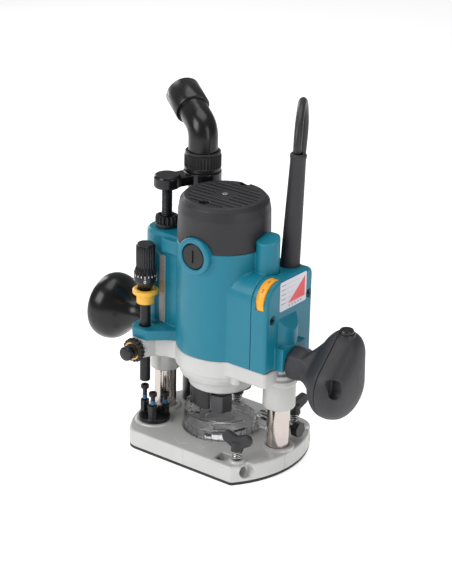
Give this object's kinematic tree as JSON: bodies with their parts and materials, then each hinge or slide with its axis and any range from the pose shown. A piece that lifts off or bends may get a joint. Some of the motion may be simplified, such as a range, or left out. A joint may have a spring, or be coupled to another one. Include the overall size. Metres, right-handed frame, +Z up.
{
  "type": "plunge router",
  "caption": "Plunge router: motor body with a knob and a switch handle sliding on two posts of a fixed base, with depth stop, clear chip nozzle and dust pipe.",
  "frame": {"origin": "middle of the router's box without its cord, on the floor plane under the sole; the spindle's axis stands 1.25 mm towards -X and 7.17 mm towards -Y from it", "axes": "+Z up along the spindle and the posts, +X towards the switch handle, -Y the front with the depth stop's setting nut and the front brush cap"},
  "size_m": [0.3363, 0.3019, 0.3483],
  "materials": {
    "cast_alloy": "bead-blasted casting",
    "teal_plastic": "moulded, satin sheen",
    "charcoal_plastic": "fine grained moulding",
    "black_plastic": "smooth moulding",
    "ground_steel": "ground and polished",
    "blued_steel": "blackened",
    "bright_steel": "bright plated",
    "copper_winding": "lacquered winding and iron",
    "yellow_plastic": "moulded",
    "orange_plastic": "moulded",
    "clear_plastic": "clear moulding",
    "carbon": "carbon and board",
    "cord_rubber": "smooth cord jacket",
    "guard_rubber": "soft moulding"
  },
  "bodies": {
    "base": {"base_casting": "cast_alloy", "sole_plate": "black_plastic", "left_post": "ground_steel", "right_post": "ground_steel", "left_plunge_spring": "ground_steel", "right_plunge_spring": "ground_steel", "threaded_rod": "blued_steel", "dust_nozzle": "clear_plastic", "dust_pipe": "black_plastic", "dust_arm": "black_plastic", "turret_screw": "bright_steel", "cord_run": "cord_rubber", "cord_coil": "cord_rubber", "cord_plug": "cord_rubber"},
    "limit_nut": {"upper_limit_nut": "black_plastic"},
    "nozzle_screw": {"nozzle_thumb_screw": "black_plastic"},
    "coupling_nut": {"dust_coupling_nut": "black_plastic"},
    "elbow": {"dust_elbow": "black_plastic"},
    "front_wing": {"front_wing_bolt": "charcoal_plastic"},
    "rear_right_wing": {"rear_right_wing_bolt": "charcoal_plastic"},
    "rear_left_wing": {"rear_left_wing_bolt": "charcoal_plastic"},
    "turret": {"stop_turret": "black_plastic"},
    "turret_bolt_1": {"stop_bolt_1": "blued_steel"},
    "turret_bolt_2": {"stop_bolt_2": "blued_steel"},
    "turret_bolt_3": {"stop_bolt_3": "blued_steel"},
    "motor_body": {"bracket_casting": "cast_alloy", "motor_housing": "teal_plastic", "scale_plate": "bright_steel", "switch_cover": "teal_plastic", "speed_controller": "carbon", "motor_cap": "charcoal_plastic", "front_brush_cap": "charcoal_plastic", "rear_brush_cap": "charcoal_plastic", "front_carbon_brush": "carbon", "rear_carbon_brush": "carbon", "stator": "copper_winding", "lower_bearing": "ground_steel", "upper_bearing": "ground_steel", "cap_screw": "bright_steel", "right_handle": "charcoal_plastic", "handle_cover": "charcoal_plastic", "switch_body": "black_plastic", "left_knob": "black_plastic", "cord_guard": "guard_rubber"},
    "dial": {"speed_dial": "orange_plastic"},
    "trigger": {"switch_trigger": "black_plastic"},
    "trigger_lock": {"lock_button": "black_plastic"},
    "lock_lever": {"plunge_lock_lever": "charcoal_plastic"},
    "spindle_lock": {"shaft_lock": "blued_steel"},
    "stop_rod": {"stop_pole": "blued_steel"},
    "stop_rod_knob": {"stop_pole_knob": "black_plastic"},
    "pointer": {"depth_pointer": "yellow_plastic"},
    "setting_ring": {"setting_nut": "black_plastic"},
    "feed_button": {"fast_feed_button": "black_plastic"},
    "spindle": {"armature_shaft": "bright_steel", "rotor": "copper_winding", "cooling_fan": "black_plastic", "collet_cone": "ground_steel"},
    "nut": {"collet_nut": "blued_steel"}
  },
  "joints": [
    {"name": "plunge", "type": "slide", "parent": "base", "child": "motor_body", "axis": [0, 0, -1], "range_m": [-0.0235, 0.0335], "stiffness_N_per_m": 300, "springref_m": -0.085, "deforming": ["left_plunge_spring", "right_plunge_spring", "cord_run"]},
    {"name": "limit_nut_feed", "type": "slide", "parent": "base", "child": "limit_nut", "axis": [0, 0, 1], "range_m": [-0.0335, 0.0235]},
    {"name": "nozzle_screw_turn", "type": "hinge", "parent": "base", "child": "nozzle_screw", "pos_m": [0.05875, 0.01663, 0.03], "axis": [1, 0, 0], "continuous": true},
    {"name": "coupling_nut_turn", "type": "hinge", "parent": "base", "child": "coupling_nut", "pos_m": [-0.05625, 0.02883, 0.272], "axis": [0, 0, 1], "continuous": true},
    {"name": "elbow_swivel", "type": "hinge", "parent": "base", "child": "elbow", "pos_m": [-0.05625, 0.02883, 0.29], "axis": [0, 0, 1], "continuous": true},
    {"name": "front_wing_turn", "type": "hinge", "parent": "base", "child": "front_wing", "pos_m": [0.05725, -0.05677, 0.035], "axis": [0, 0, 1], "continuous": true},
    {"name": "rear_right_wing_turn", "type": "hinge", "parent": "base", "child": "rear_right_wing", "pos_m": [0.05235, 0.04243, 0.035], "axis": [0, 0, 1], "continuous": true},
    {"name": "rear_left_wing_turn", "type": "hinge", "parent": "base", "child": "rear_left_wing", "pos_m": [-0.01815, 0.04283, 0.035], "axis": [0, 0, 1], "continuous": true},
    {"name": "turret_turn", "type": "hinge", "parent": "base", "child": "turret", "pos_m": [-0.05865, -0.03917, 0.025], "axis": [0, 0, 1], "continuous": true},
    {"name": "turret_bolt_1_feed", "type": "slide", "parent": "turret", "child": "turret_bolt_1", "axis": [0, 0, 1], "range_m": [-0.005, 0]},
    {"name": "turret_bolt_2_feed", "type": "slide", "parent": "turret", "child": "turret_bolt_2", "axis": [0, 0, 1], "range_m": [-0.005, 0]},
    {"name": "turret_bolt_3_feed", "type": "slide", "parent": "turret", "child": "turret_bolt_3", "axis": [0, 0, 1], "range_m": [-0.005, 0]},
    {"name": "dial_turn", "type": "hinge", "parent": "motor_body", "child": "dial", "pos_m": [0.06675, -0.02267, 0.1785], "axis": [1, 0, 0], "range_deg": [-160, 15]},
    {"name": "trigger_press", "type": "slide", "parent": "motor_body", "child": "trigger", "axis": [0, -1, 0], "range_m": [0, 0.006], "stiffness_N_per_m": 900, "springref_m": -0.004},
    {"name": "trigger_lock_press", "type": "slide", "parent": "motor_body", "child": "trigger_lock", "axis": [0, 0, -1], "range_m": [0, 0.003], "stiffness_N_per_m": 600, "springref_m": -0.003},
    {"name": "lock_lever_swing", "type": "hinge", "parent": "motor_body", "child": "lock_lever", "pos_m": [0.06775, 0.03683, 0.099], "axis": [0, 1, 0], "range_deg": [-25, 25]},
    {"name": "spindle_lock_press", "type": "slide", "parent": "motor_body", "child": "spindle_lock", "axis": [0.6141, 0.7892, 0], "range_m": [0, 0.003], "stiffness_N_per_m": 900, "springref_m": -0.002},
    {"name": "stop_rod_slide", "type": "slide", "parent": "motor_body", "child": "stop_rod", "axis": [0, 0, 1], "range_m": [-0.0235, 0.0335]},
    {"name": "stop_knob_turn", "type": "hinge", "parent": "stop_rod", "child": "stop_rod_knob", "pos_m": [-0.07025, -0.03967, 0.18], "axis": [0, 0, 1], "continuous": true},
    {"name": "pointer_slide", "type": "slide", "parent": "stop_rod", "child": "pointer", "axis": [0, 0, -1], "range_m": [0, 0.02]},
    {"name": "setting_ring_turn", "type": "hinge", "parent": "motor_body", "child": "setting_ring", "pos_m": [-0.07025, -0.05617, 0.097], "axis": [0, 1, 0], "continuous": true},
    {"name": "feed_button_press", "type": "slide", "parent": "motor_body", "child": "feed_button", "axis": [0, 1, 0], "range_m": [0, 0.004], "stiffness_N_per_m": 600, "springref_m": -0.003},
    {"name": "spindle_turn", "type": "hinge", "parent": "motor_body", "child": "spindle", "pos_m": [-0.00125, -0.00717, 0.15], "axis": [0, 0, 1], "continuous": true},
    {"name": "nut_turn", "type": "hinge", "parent": "spindle", "child": "nut", "pos_m": [-0.00125, -0.00717, 0.047], "axis": [0, 0, 1], "continuous": true}
  ],
  "couplings": [
    {"joint": "limit_nut_feed", "follows": "plunge", "ratio": -1},
    {"joint": "stop_rod_slide", "follows": "plunge", "ratio": 1}
  ]
}
